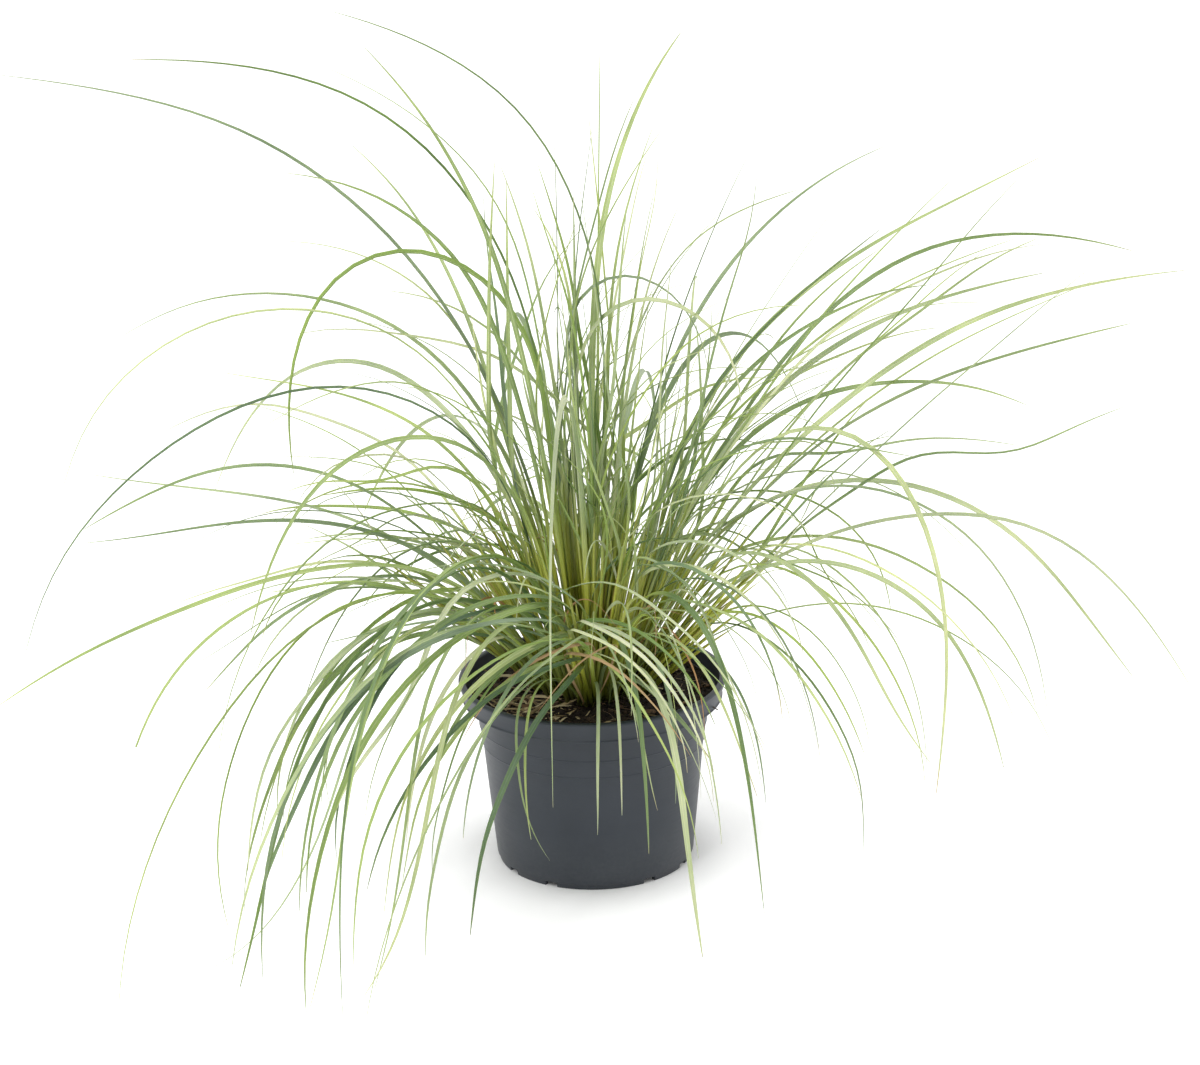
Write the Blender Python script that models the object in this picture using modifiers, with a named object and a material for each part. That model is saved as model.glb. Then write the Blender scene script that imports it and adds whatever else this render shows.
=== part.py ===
"""A clump of arching ornamental grass in its nursery pot. Metres, +Z up, origin under the pot's centre."""

import math

import bmesh
import bpy
from mathutils import Vector

OBJECT_NAME = "potted_grass_clump"

# Pot
POT_HEIGHT = 0.135
RIM_RADIUS = 0.095
RIM_LIP = 0.005
COLLAR_FOOT_RADIUS = 0.0917
COLLAR_HEIGHT = 0.015
WALL = 0.0017
BODY_TOP_RADIUS = 0.0825
BAND_STEP = 0.0005
UPPER_BAND_FOOT = 0.102
LOWER_BAND_FOOT = 0.089
BODY_MID_RADIUS = 0.0763
BODY_MID_HEIGHT = 0.062
BODY_FOOT_RADIUS = 0.0708
FOOT_RING_HEIGHT = 0.004
FOOT_RING_RADIUS = 0.0698
FOOT_RING_WIDTH = 0.004
PAD_RADIUS = 0.040
POT_FLOOR = 0.005
POT_SIDES = 48

# Drainage: pairs of slots through the foot ring, each with a hole through the floor behind it
DRAIN_ANGLES = (33, 63, 123, 153, 213, 243, 303, 333)
SLOT_WIDTH = 0.009
DRAIN_HOLE_RADIUS = 0.004
DRAIN_HOLE_DISTANCE = 0.058

# Potting mix
MIX_EDGE_HEIGHT = 0.1205
MIX_CROWN_HEIGHT = 0.1245
TOUCH_GAP = 0.0003

# Shoots: heading in degrees from +X, distance from the pot's axis, lean at the foot and at the top
SHOOT_LENGTH = 0.130
SHOOT_FOOT_RADIUS = 0.0030
SHOOT_TOP_RADIUS = 0.0017
SHOOTS = (
    (285, 0.007, 5, 7),
    (120, 0.017, 9, 12),
    (320, 0.012, 13, 17),
    (90, 0.019, 16, 20),
    (290, 0.020, 18, 24),
    (40, 0.029, 24, 31),
    (265, 0.034, 36, 46),
    (0, 0.038, 38, 48),
    (330, 0.038, 40, 50),
    (80, 0.038, 38, 48),
    (140, 0.038, 40, 50),
    (180, 0.038, 42, 52),
)

# Long leaves: heading in degrees from +X, distance of the foot from the axis, length, lean from the
# vertical in degrees at even steps from foot to tip, and width
LEAVES = {
    "left": (
        (165, 0.016, 0.665, (5, 15, 30, 53, 77, 86), 0.0045),
        (160, 0.012, 0.635, (2, 6, 14, 42, 77, 92), 0.0040),
        (150, 0.006, 0.595, (-6, -5, 0, 25, 65, 82), 0.0040),
        (176, 0.010, 0.510, (3, 5, 6, 14, 45, 66), 0.0035),
        (207, 0.011, 0.500, (6, 8, 10, 15, 28, 42), 0.0035),
        (190, 0.020, 0.460, (2, 6, 12, 20, 50, 80), 0.0035),
        (195, 0.024, 0.595, (4, 16, 34, 78, 124, 165), 0.0035),
        (155, 0.024, 0.530, (4, 17, 38, 74, 100, 122), 0.0050),
        (193, 0.015, 0.565, (2, 5, 10, 62, 150, 185), 0.0040),
        (150, 0.028, 0.390, (12, 24, 44, 72, 87, 88), 0.0030),
        (160, 0.032, 0.405, (32, 50, 68, 85, 90, 88), 0.0040),
        (170, 0.030, 0.415, (30, 42, 54, 84, 111, 121), 0.0035),
        (190, 0.033, 0.380, (22, 38, 60, 82, 95, 92), 0.0050),
        (205, 0.029, 0.455, (26, 45, 80, 98, 105, 115), 0.0050),
        (198, 0.036, 0.615, (2, 14, 58, 105, 135, 165), 0.0035),
        (210, 0.036, 0.385, (33, 46, 68, 95, 124, 153), 0.0040),
        (215, 0.026, 0.470, (34, 50, 84, 136, 165, 190), 0.0045),
    ),
    "front": (
        (231, 0.028, 0.490, (28, 50, 88, 130, 156, 156), 0.0050),
        (230, 0.036, 0.450, (30, 55, 105, 150, 130, 88), 0.0035),
        (240, 0.022, 0.550, (20, 40, 85, 135, 162, 150), 0.0050),
        (246, 0.027, 0.575, (25, 45, 80, 125, 165, 180), 0.0040),
        (239, 0.034, 0.430, (20, 45, 100, 155, 162, 148), 0.0050),
        (264, 0.014, 0.585, (8, 14, 40, 130, 173, 178), 0.0050),
        (288, 0.030, 0.300, (30, 65, 115, 155, 158, 150), 0.0050),
        (297, 0.026, 0.400, (15, 40, 85, 142, 165, 170), 0.0040),
    ),
    "right": (
        (330, 0.024, 0.565, (20, 28, 50, 140, 176, 186), 0.0040),
        (338, 0.030, 0.395, (28, 42, 72, 112, 150, 166), 0.0035),
        (351, 0.014, 0.475, (22, 36, 68, 112, 150, 172), 0.0035),
        (359, 0.033, 0.495, (15, 34, 74, 112, 140, 144), 0.0040),
        (345, 0.028, 0.490, (34, 49, 68, 92, 132, 148), 0.0050),
        (322, 0.030, 0.370, (22, 32, 60, 118, 146, 135), 0.0045),
        (15, 0.018, 0.545, (20, 28, 36, 55, 88, 108), 0.0035),
        (5, 0.022, 0.520, (24, 34, 46, 58, 77, 88), 0.0040),
        (25, 0.018, 0.525, (8, 21, 36, 58, 70, 70), 0.0040),
        (35, 0.016, 0.480, (2, 13, 21, 42, 64, 80), 0.0040),
        (50, 0.012, 0.455, (1, 6, 13, 40, 76, 88), 0.0035),
        (26, 0.032, 0.450, (12, 24, 50, 84, 102, 117), 0.0035),
        (15, 0.028, 0.465, (28, 39, 52, 68, 78, 81), 0.0050),
    ),
    "top": (
        (60, 0.006, 0.495, (0, 0, 2, 12, 40, 62), 0.0045),
        (80, 0.010, 0.450, (6, 7, 8, 9, 11, 14), 0.0040),
    ),
    "back": (
        (62, 0.024, 0.520, (12, 28, 55, 95, 130, 150), 0.0040),
        (82, 0.028, 0.500, (22, 38, 65, 100, 135, 155), 0.0045),
        (100, 0.026, 0.560, (14, 28, 55, 100, 135, 150), 0.0040),
        (118, 0.030, 0.480, (25, 42, 72, 105, 130, 145), 0.0045),
        (138, 0.026, 0.540, (12, 28, 58, 100, 132, 150), 0.0040),
    ),
}
LEAF_SECTIONS = 15
LEAF_THICKNESS = 0.0006
LEAF_FOLD = 0.22
LEAF_TWIST = 25
# How far a leaf's heading drifts from foot to tip, in degrees; leaves on one side take turns by LEAF_SWAY_TURNS
LEAF_SWAY = {"left": 12, "front": 6, "right": 12, "top": 8, "back": 16}
LEAF_SWAY_TURNS = (1, -0.5, 0.6, -1)
SWAY_PIVOT = 0.55
# Width along a leaf as a share of its full width: a narrow sheath, a broad middle and a fine tip
LEAF_OUTLINE = ((0.0, 0.60), (0.2, 1.0), (0.5, 0.95), (0.8, 0.60), (1.0, 0.06))


def clear_scene():
    for obj in list(bpy.data.objects):
        bpy.data.objects.remove(obj)
    for collection in list(bpy.data.collections):
        bpy.data.collections.remove(collection)


def new_collection(name):
    collection = bpy.data.collections.new(name)
    bpy.context.scene.collection.children.link(collection)
    return collection


def new_material(name, colour, roughness):
    material = bpy.data.materials.new(name)
    material.use_nodes = True
    surface = material.node_tree.nodes["Principled BSDF"]
    surface.inputs["Base Color"].default_value = (*colour, 1)
    surface.inputs["Roughness"].default_value = roughness
    surface.inputs["Metallic"].default_value = 0
    return material


def new_part(name, data, collection, material):
    part = bpy.data.objects.new(name, data)
    collection.objects.link(part)
    data.materials.append(material)
    return part


def turned(name, profile, sides, collection, material):
    """A profile of (radius, height) points turned about +Z; it runs top to bottom on its outer side."""
    mesh = bpy.data.meshes.new(name)
    points = [(radius, 0, height) for radius, height in profile]
    edges = [(i, i + 1) for i in range(len(points) - 1)]
    mesh.from_pydata(points, edges, [])
    part = new_part(name, mesh, collection, material)
    screw = part.modifiers.new("turn", "SCREW")
    screw.axis = "Z"
    screw.angle = math.tau
    screw.steps = sides
    screw.render_steps = sides
    screw.use_merge_vertices = True
    screw.merge_threshold = 0.0001
    screw.use_smooth_shade = True
    return part


def body_radius(height):
    """The pot wall's outer radius below the collar, in two straight runs that flare towards the top."""
    if height > BODY_MID_HEIGHT:
        share = (height - BODY_MID_HEIGHT) / (POT_HEIGHT - COLLAR_HEIGHT - BODY_MID_HEIGHT)
        return BODY_MID_RADIUS + share * (BODY_TOP_RADIUS - BODY_MID_RADIUS)
    share = (height - FOOT_RING_HEIGHT) / (BODY_MID_HEIGHT - FOOT_RING_HEIGHT)
    return BODY_FOOT_RADIUS + share * (BODY_MID_RADIUS - BODY_FOOT_RADIUS)


def add_drain_cutters(collection):
    """A box across the foot ring and a round hole through the floor for each drain."""
    ring_middle = FOOT_RING_RADIUS - FOOT_RING_WIDTH / 2
    for angle in map(math.radians, DRAIN_ANGLES):
        along = Vector((math.cos(angle), math.sin(angle), 0))
        bpy.ops.mesh.primitive_cube_add(size=1, location=along * ring_middle, rotation=(0, 0, angle))
        slot = bpy.context.object
        slot.name = "slot_cutter"
        slot.scale = (4 * FOOT_RING_WIDTH, SLOT_WIDTH, 2 * (FOOT_RING_HEIGHT - 0.0005))
        bpy.ops.mesh.primitive_cylinder_add(
            vertices=10,
            radius=DRAIN_HOLE_RADIUS,
            depth=4 * POT_FLOOR,
            location=along * DRAIN_HOLE_DISTANCE,
        )
        hole = bpy.context.object
        hole.name = "drain_cutter"
        for cutter in (slot, hole):
            for holder in list(cutter.users_collection):
                holder.objects.unlink(cutter)
            collection.objects.link(cutter)
            cutter.hide_render = True
            cutter.display_type = "WIRE"


def build_pot(collection, cutters):
    """A moulded pot: flared lip and collar, two shallow bands, tapering wall, foot ring and centre pad."""
    collar_foot = POT_HEIGHT - COLLAR_HEIGHT
    lip_round = 0.0012
    recess = 0.003
    profile = [
        (0, POT_FLOOR),
        (body_radius(POT_FLOOR) - WALL - 0.003, POT_FLOOR),
        (body_radius(POT_FLOOR + 0.003) - WALL, POT_FLOOR + 0.003),
        (body_radius(BODY_MID_HEIGHT) - WALL, BODY_MID_HEIGHT),
        (body_radius(collar_foot) - WALL, collar_foot),
        (COLLAR_FOOT_RADIUS - WALL - 0.002, collar_foot + 0.003),
        (RIM_RADIUS - RIM_LIP, POT_HEIGHT - 0.002),
        (RIM_RADIUS - RIM_LIP + lip_round, POT_HEIGHT),
        (RIM_RADIUS - lip_round, POT_HEIGHT),
        (RIM_RADIUS, POT_HEIGHT - lip_round),
        (COLLAR_FOOT_RADIUS, collar_foot + 0.0006),
        (COLLAR_FOOT_RADIUS - 0.0006, collar_foot),
        (body_radius(collar_foot) + BAND_STEP, collar_foot - 0.0008),
        (body_radius(UPPER_BAND_FOOT) + BAND_STEP, UPPER_BAND_FOOT),
        (body_radius(UPPER_BAND_FOOT), UPPER_BAND_FOOT - 0.0008),
        (body_radius(LOWER_BAND_FOOT), LOWER_BAND_FOOT),
        (body_radius(LOWER_BAND_FOOT) - BAND_STEP, LOWER_BAND_FOOT - 0.0008),
        (body_radius(BODY_MID_HEIGHT), BODY_MID_HEIGHT),
        (body_radius(0.012), 0.012),
        (BODY_FOOT_RADIUS, FOOT_RING_HEIGHT),
        (FOOT_RING_RADIUS, FOOT_RING_HEIGHT - 0.0006),
        (FOOT_RING_RADIUS - 0.0005, 0),
        (FOOT_RING_RADIUS - FOOT_RING_WIDTH, 0),
        (FOOT_RING_RADIUS - FOOT_RING_WIDTH - 0.0005, recess),
        (PAD_RADIUS + 0.001, recess),
        (PAD_RADIUS, 0),
        (0, 0),
    ]
    plastic = new_material("pot_plastic", (0.058, 0.068, 0.078), 0.45)
    pot = turned("pot", profile, POT_SIDES, collection, plastic)
    add_drain_cutters(cutters)
    drain = pot.modifiers.new("drains", "BOOLEAN")
    drain.operation = "DIFFERENCE"
    drain.solver = "EXACT"
    drain.operand_type = "COLLECTION"
    drain.collection = cutters


def build_potting_mix(collection):
    """The packed root ball and peat, filling the pot to a little below its lip."""
    gap = WALL + TOUCH_GAP
    collar_foot = POT_HEIGHT - COLLAR_HEIGHT
    profile = [
        (0, MIX_CROWN_HEIGHT),
        (0.040, MIX_CROWN_HEIGHT - 0.0005),
        (0.070, MIX_EDGE_HEIGHT + 0.0008),
        (body_radius(collar_foot) - gap - 0.001, MIX_EDGE_HEIGHT),
        (body_radius(collar_foot) - gap - 0.001, MIX_EDGE_HEIGHT - 0.004),
        (body_radius(BODY_MID_HEIGHT) - gap - 0.0003, BODY_MID_HEIGHT),
        (body_radius(POT_FLOOR + 0.005) - gap - 0.0003, POT_FLOOR + 0.005),
        (body_radius(POT_FLOOR) - gap - 0.004, POT_FLOOR + TOUCH_GAP),
        (0, POT_FLOOR + TOUCH_GAP),
    ]
    peat = new_material("potting_mix", (0.018, 0.012, 0.009), 0.95)
    turned("potting_mix", profile, 32, collection, peat)


def between(values, share):
    """A smooth Catmull-Rom reading of evenly spaced values at a share from 0 to 1."""
    place = share * (len(values) - 1)
    first = min(int(place), len(values) - 2)
    t = place - first
    p0 = values[max(first - 1, 0)]
    p1 = values[first]
    p2 = values[first + 1]
    p3 = values[min(first + 2, len(values) - 1)]
    slope_in = p2 - p0
    slope_out = 2 * p0 - 5 * p1 + 4 * p2 - p3
    return 0.5 * (2 * p1 + slope_in * t + slope_out * t**2 + (3 * p1 - p0 - 3 * p2 + p3) * t**3)


def outline_width(share):
    for (low, start), (high, end) in zip(LEAF_OUTLINE, LEAF_OUTLINE[1:]):
        if share <= high:
            return start + (end - start) * (share - low) / (high - low)
    return LEAF_OUTLINE[-1][1]


def outwards(heading):
    return Vector((math.cos(math.radians(heading)), math.sin(math.radians(heading)), 0))


def arc(heading, foot, length, leans, points, sway=0):
    """Points along a stem that rises from the crown and leans over, its heading drifting by sway."""
    place = outwards(heading) * foot + Vector((0, 0, MIX_CROWN_HEIGHT + TOUCH_GAP))
    track = [place.copy()]
    fine = 8
    steps = (points - 1) * fine
    for step in range(steps):
        share = (step + 0.5) / steps
        lean = math.radians(between(leans, share))
        away = outwards(heading + sway * (share - SWAY_PIVOT))
        place = place + (away * math.sin(lean) + Vector((0, 0, math.cos(lean)))) * length / steps
        if (step + 1) % fine == 0:
            track.append(place.copy())
    return track


def build_shoot(name, shoot, collection, material):
    """A sheathed shoot: a tapering stem, as a bevelled curve whose point radii carry the taper."""
    heading, foot, lean_foot, lean_top = shoot
    track = arc(heading, foot, SHOOT_LENGTH, (lean_foot, (lean_foot + lean_top) / 2, lean_top), 5)
    foot_clearance = SHOOT_FOOT_RADIUS * math.sin(math.radians(lean_foot))
    curve = bpy.data.curves.new(name, "CURVE")
    curve.dimensions = "3D"
    curve.bevel_depth = SHOOT_FOOT_RADIUS
    curve.bevel_resolution = 1
    curve.use_fill_caps = True
    spline = curve.splines.new("POLY")
    spline.points.add(len(track) - 1)
    taper = SHOOT_TOP_RADIUS / SHOOT_FOOT_RADIUS
    for i, (point, place) in enumerate(zip(spline.points, track)):
        point.co = (place.x, place.y, place.z + foot_clearance, 1)
        point.radius = 1 + (taper - 1) * i / (len(track) - 1)
    new_part(name, curve, collection, material)


def build_leaf(name, leaf, sway, twist, collection, material):
    """A folded blade: V sections lofted along its arc, from a narrow sheath to a fine tip."""
    heading, foot, length, leans, width = leaf
    track = arc(heading, foot, length, leans, LEAF_SECTIONS, sway)
    work = bmesh.new()
    rings = []
    for i, place in enumerate(track):
        share = i / (len(track) - 1)
        ahead = track[min(i + 1, len(track) - 1)]
        behind = track[max(i - 1, 0)]
        along = (ahead - behind).normalized()
        across = outwards(heading + sway * (share - SWAY_PIVOT) + 90)
        turn = math.radians(twist * share)
        upper = along.cross(across).normalized() * math.cos(turn) + across * math.sin(turn)
        side = upper.cross(along)
        half = width / 2 * outline_width(share)
        thick = LEAF_THICKNESS * (0.35 + 0.65 * outline_width(share))
        lift = abs(half * side.z) + thick if i == 0 else 0
        raised = place + Vector((0, 0, lift))
        ring = (
            raised - side * half + upper * half * LEAF_FOLD,
            raised - upper * thick / 2,
            raised + side * half + upper * half * LEAF_FOLD,
            raised + upper * thick / 2,
        )
        rings.append([work.verts.new(corner) for corner in ring])
    for ring, following in zip(rings, rings[1:]):
        for k in range(4):
            work.faces.new((ring[k], ring[(k + 1) % 4], following[(k + 1) % 4], following[k]))
    work.faces.new(rings[0])
    work.faces.new(rings[-1])
    bmesh.ops.recalc_face_normals(work, faces=work.faces)
    mesh = bpy.data.meshes.new(name)
    work.to_mesh(mesh)
    work.free()
    mesh.shade_smooth()
    new_part(name, mesh, collection, material)


def build_grass(collection):
    sheath = new_material("shoot_sheath", (0.42, 0.40, 0.14), 0.5)
    for number, shoot in enumerate(SHOOTS, 1):
        build_shoot(f"shoot_{number:02d}", shoot, collection, sheath)
    blade = new_material("leaf_blade", (0.16, 0.26, 0.08), 0.5)
    for side, leaves in LEAVES.items():
        for number, leaf in enumerate(leaves, 1):
            sway = LEAF_SWAY[side] * LEAF_SWAY_TURNS[number % len(LEAF_SWAY_TURNS)]
            twist = LEAF_TWIST if number % 2 else -LEAF_TWIST
            build_leaf(f"leaf_{side}_{number:02d}", leaf, sway, twist, collection, blade)


def main():
    clear_scene()
    parts = new_collection(OBJECT_NAME)
    cutters = new_collection("cutters")
    build_pot(parts, cutters)
    build_potting_mix(parts)
    build_grass(parts)


main()
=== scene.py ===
import math

import bpy
import numpy as np
from mathutils import Matrix, Vector, noise


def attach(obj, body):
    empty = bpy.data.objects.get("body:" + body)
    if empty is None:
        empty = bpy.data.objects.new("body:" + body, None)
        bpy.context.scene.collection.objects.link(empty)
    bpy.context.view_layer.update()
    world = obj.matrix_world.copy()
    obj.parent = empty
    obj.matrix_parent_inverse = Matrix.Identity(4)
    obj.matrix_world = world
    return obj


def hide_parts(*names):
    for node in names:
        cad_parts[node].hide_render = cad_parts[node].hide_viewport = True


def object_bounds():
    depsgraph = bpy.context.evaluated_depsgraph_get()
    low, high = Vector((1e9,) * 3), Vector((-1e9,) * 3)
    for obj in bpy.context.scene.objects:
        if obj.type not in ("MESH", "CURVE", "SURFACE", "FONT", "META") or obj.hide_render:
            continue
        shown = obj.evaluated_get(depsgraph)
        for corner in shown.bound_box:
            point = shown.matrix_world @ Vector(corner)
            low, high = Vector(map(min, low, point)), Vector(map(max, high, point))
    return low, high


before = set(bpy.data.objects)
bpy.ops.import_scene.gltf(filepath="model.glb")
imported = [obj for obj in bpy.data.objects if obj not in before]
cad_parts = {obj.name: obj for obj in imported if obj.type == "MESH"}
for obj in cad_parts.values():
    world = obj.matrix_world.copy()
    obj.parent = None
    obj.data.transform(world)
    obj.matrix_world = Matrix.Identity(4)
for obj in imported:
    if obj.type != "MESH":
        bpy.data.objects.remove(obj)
cad_low, cad_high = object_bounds()


# ---------------- studio
# The stage the plant stands on: a white floor that runs past every edge of the view and glows,
# brighter to the camera, with a painted soft shadow round the pot where the glow is left out; one
# broad soft light high on the left, a weaker one on the right, and a camera on a tall stand.

def add_node(tree, kind, inputs=None, **settings):
    """A shader node with its settings made and its inputs set to values or wired to sockets."""
    node = tree.nodes.new(kind)
    for key, value in settings.items():
        setattr(node, key, value)
    for key, value in (inputs or {}).items():
        if isinstance(value, bpy.types.NodeSocket):
            tree.links.new(value, node.inputs[key])
        else:
            node.inputs[key].default_value = value
    return node


def new_finish(name, roughness, specular=0.5):
    """An empty finish: the material, its node tree and its surface shader."""
    material = bpy.data.materials.new(name)
    material.use_nodes = True
    tree = material.node_tree
    surface = tree.nodes["Principled BSDF"]
    surface.inputs["Roughness"].default_value = roughness
    surface.inputs["Specular IOR Level"].default_value = specular
    return material, tree, surface


def ramped(tree, share, *stops):
    """A colour ramp's output; each stop is (place, colour)."""
    node = add_node(tree, "ShaderNodeValToRGB", {"Fac": share})
    elements = node.color_ramp.elements
    while len(elements) < len(stops):
        elements.new(0.5)
    for element, (place, colour) in zip(elements, stops):
        element.position = place
        element.color = (*colour, 1)
    return node.outputs["Color"]


def maths(tree, operation, first, second=0.0, third=0.0, clamp=False):
    """One sum on numbers or sockets."""
    inputs = {0: first, 1: second, 2: third}
    return add_node(tree, "ShaderNodeMath", inputs, operation=operation, use_clamp=clamp).outputs[0]


FLOOR_SIZE = 30
FLOOR_WHITE = (0.90, 0.90, 0.90, 1)
FLOOR_GLOW = 0.20
KEY_WATTS = 36
SIDE_WATTS = 9
CAMERA_PLACE = (0.0075, -2.04, 0.925)
CAMERA_TILT = 71.47
CAMERA_ROLL = -1.1
CAMERA_LENS = 92.4
SENSOR_WIDTH = 36

bpy.ops.object.select_all(action="DESELECT")
bpy.ops.mesh.primitive_plane_add(size=FLOOR_SIZE, location=(0, 0, 0))
floor = bpy.context.object
floor.name = "studio_floor"
glowing_floor, tree, surface = new_finish("glowing_white_floor", 0.75, 0.2)
surface.inputs["Base Color"].default_value = FLOOR_WHITE
# The floor glows, twice as bright to the camera as to the plant, and the glow is left out close to
# the pot, which paints a soft shadow round its foot
floor_place = add_node(tree, "ShaderNodeTexCoord").outputs["Object"]
from_pot = add_node(tree, "ShaderNodeVectorMath", {0: floor_place}, operation="LENGTH").outputs["Value"]
glow_and_painted_shadow = ramped(
    tree, from_pot, (0.068, (0.0, 0.0, 0.0)), (0.10, (0.55, 0.55, 0.55)), (0.17, (1.0, 1.0, 1.0))
)
seen = add_node(tree, "ShaderNodeLightPath").outputs["Is Camera Ray"]
tree.links.new(glow_and_painted_shadow, surface.inputs["Emission Color"])
strength = maths(tree, "ADD", maths(tree, "MULTIPLY", seen, FLOOR_GLOW), FLOOR_GLOW)
tree.links.new(strength, surface.inputs["Emission Strength"])
floor.data.materials.append(glowing_floor)

world = bpy.data.worlds.new("studio_air")
world.use_nodes = True
world.node_tree.nodes["Background"].inputs["Color"].default_value = (1, 1, 1, 1)
world.node_tree.nodes["Background"].inputs["Strength"].default_value = 1.0
bpy.context.scene.world = world


def soft_light(name, place, target, width, height, watts):
    """A rectangular lamp at a place, facing its target."""
    bpy.ops.object.light_add(type="AREA", location=place)
    lamp = bpy.context.object
    lamp.name = name
    lamp.data.shape = "RECTANGLE"
    lamp.data.size = width
    lamp.data.size_y = height
    lamp.data.energy = watts
    lamp.rotation_euler = (Vector(target) - Vector(place)).to_track_quat("-Z", "Y").to_euler()


soft_light("key_light", (-1.3, -1.6, 2.3), (0, 0, 0.2), 1.0, 1.0, KEY_WATTS)
soft_light("side_light", (2.6, 0.6, 1.3), (0, 0, 0.2), 1.2, 1.6, SIDE_WATTS)

bpy.ops.object.camera_add(location=CAMERA_PLACE)
camera = bpy.context.object
camera.name = "studio_camera"
camera.data.lens = CAMERA_LENS
camera.data.sensor_width = SENSOR_WIDTH
tilt = Matrix.Rotation(math.radians(CAMERA_TILT), 3, "X")
camera.rotation_euler = (tilt @ Matrix.Rotation(math.radians(CAMERA_ROLL), 3, "Z")).to_euler()
bpy.context.scene.camera = camera
bpy.context.scene.view_settings.view_transform = "Standard"


# ---------------- pot
# A round nursery pot moulded in one piece of anthracite polypropylene: a flared collar with a
# rolled lip, two shallow bands, a tapering wall and a foot ring that is slotted for drainage.

POT_HEIGHT = 0.135
RIM_RADIUS = 0.095
LIP_WIDTH = 0.005
COLLAR_FOOT_RADIUS = 0.0917
COLLAR_FOOT = 0.120
WALL = 0.0017
BODY_TOP_RADIUS = 0.0825
BODY_MID_RADIUS = 0.0763
BODY_MID_HEIGHT = 0.062
BODY_FOOT_RADIUS = 0.0708
FOOT_RING_HEIGHT = 0.004
FOOT_RING_OUTER = 0.0693
FOOT_RING_INNER = 0.0653
PAD_RADIUS = 0.040
RECESS = 0.003
BAND_STEP = 0.0005
UPPER_BAND_FOOT = 0.102
LOWER_BAND_FOOT = 0.089
POT_FLOOR = 0.005
POT_STEPS = 144
DRAIN_ANGLES = (33, 63, 123, 153, 213, 243, 303, 333)
SLOT_DISTANCE = 0.068
SLOT_SIZE = (0.016, 0.009, 0.007)
HOLE_DISTANCE = 0.058
HOLE_RADIUS = 0.004
HOLE_DEPTH = 0.020
MOULDED_EDGE = 0.00022


def wall_radius(height):
    """Outer radius of the wall below the collar: two straight runs that flare upwards."""
    if height > BODY_MID_HEIGHT:
        share = (height - BODY_MID_HEIGHT) / (COLLAR_FOOT - BODY_MID_HEIGHT)
        return BODY_MID_RADIUS + share * (BODY_TOP_RADIUS - BODY_MID_RADIUS)
    share = (height - FOOT_RING_HEIGHT) / (BODY_MID_HEIGHT - FOOT_RING_HEIGHT)
    return BODY_FOOT_RADIUS + share * (BODY_MID_RADIUS - BODY_FOOT_RADIUS)


def drawn_up(name, vertices, profile, finish):
    """A round form: a disc whose top face is extruded and resized from one (radius, height) to
    the next."""
    bpy.ops.object.select_all(action="DESELECT")
    (first, low), (second, high) = profile[:2]
    middle = (0, 0, (low + high) / 2)
    bpy.ops.mesh.primitive_cone_add(
        vertices=vertices, radius1=first, radius2=second, depth=high - low, location=middle
    )
    piece = bpy.context.object
    piece.name = name
    bpy.ops.object.transform_apply(location=True, rotation=True, scale=True)
    bpy.ops.object.mode_set(mode="EDIT")
    bpy.ops.mesh.select_all(action="DESELECT")
    bpy.ops.object.mode_set(mode="OBJECT")
    top = max(piece.data.polygons, key=lambda face: face.center.z + 0.01 * len(face.vertices))
    top.select = True
    bpy.ops.object.mode_set(mode="EDIT")
    bpy.ops.mesh.select_mode(type="FACE")
    radius, height = second, high
    for next_radius, next_height in profile[2:]:
        rise = (0, 0, next_height - height)
        bpy.ops.mesh.extrude_region_move(TRANSFORM_OT_translate={"value": rise})
        scale = next_radius / radius
        bpy.ops.transform.resize(value=(scale, scale, 1), center_override=(0, 0, next_height))
        radius, height = next_radius, next_height
    bpy.ops.object.mode_set(mode="OBJECT")
    piece.data.materials.append(finish)
    return piece


def finish_with(piece, kind, **settings):
    """Adds a modifier and applies it."""
    modifier = piece.modifiers.new(kind.lower(), kind)
    for key, value in settings.items():
        setattr(modifier, key, value)
    bpy.context.view_layer.objects.active = piece
    bpy.ops.object.modifier_apply(modifier=modifier.name)


def mixed(tree, share, first, second, kind="MIX"):
    """The colour between first and second at share, or their blend of that kind."""
    inputs = {0: share, 6: first, 7: second}
    return add_node(tree, "ShaderNodeMix", inputs, data_type="RGBA", blend_type=kind).outputs[2]


def mottled(tree, place, scale, detail, roughness=0.5):
    """A soft natural noise from 0 to 1."""
    grain = {"Vector": place, "Scale": scale, "Detail": detail, "Roughness": roughness}
    return add_node(tree, "ShaderNodeTexNoise", grain).outputs["Fac"]


def roughened(tree, surface, height, strength, distance):
    """Gives a finish a fine relief."""
    relief = {"Height": height, "Strength": strength, "Distance": distance}
    bump = add_node(tree, "ShaderNodeBump", relief)
    tree.links.new(bump.outputs["Normal"], surface.inputs["Normal"])


# Anthracite plastic: a satin skin with faint flow marks, pale dust caught low down, and fine rubbed
# scratches that run round the pot.
plastic, tree, surface = new_finish("anthracite_plastic", 0.42)
place = add_node(tree, "ShaderNodeTexCoord").outputs["Object"]
height = add_node(tree, "ShaderNodeSeparateXYZ", {"Vector": place}).outputs["Z"]
flow = mottled(tree, place, 22, 5, 0.6)
stretched = add_node(tree, "ShaderNodeMapping", {"Vector": place, "Scale": (60, 60, 900)}).outputs[0]
rubs = mottled(tree, stretched, 1, 3)
speck = mottled(tree, place, 420, 3)
base = ramped(tree, flow, (0.3, (0.014, 0.020, 0.029)), (0.7, (0.020, 0.027, 0.038)))
low_dust = ramped(tree, height, (0.0, (1, 1, 1)), (0.045, (0, 0, 0)))
grime = maths(tree, "MULTIPLY", low_dust, maths(tree, "MULTIPLY", flow, speck))
dusty = mixed(tree, maths(tree, "MULTIPLY", grime, 0.35), base, (0.17, 0.165, 0.155, 1))
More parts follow.
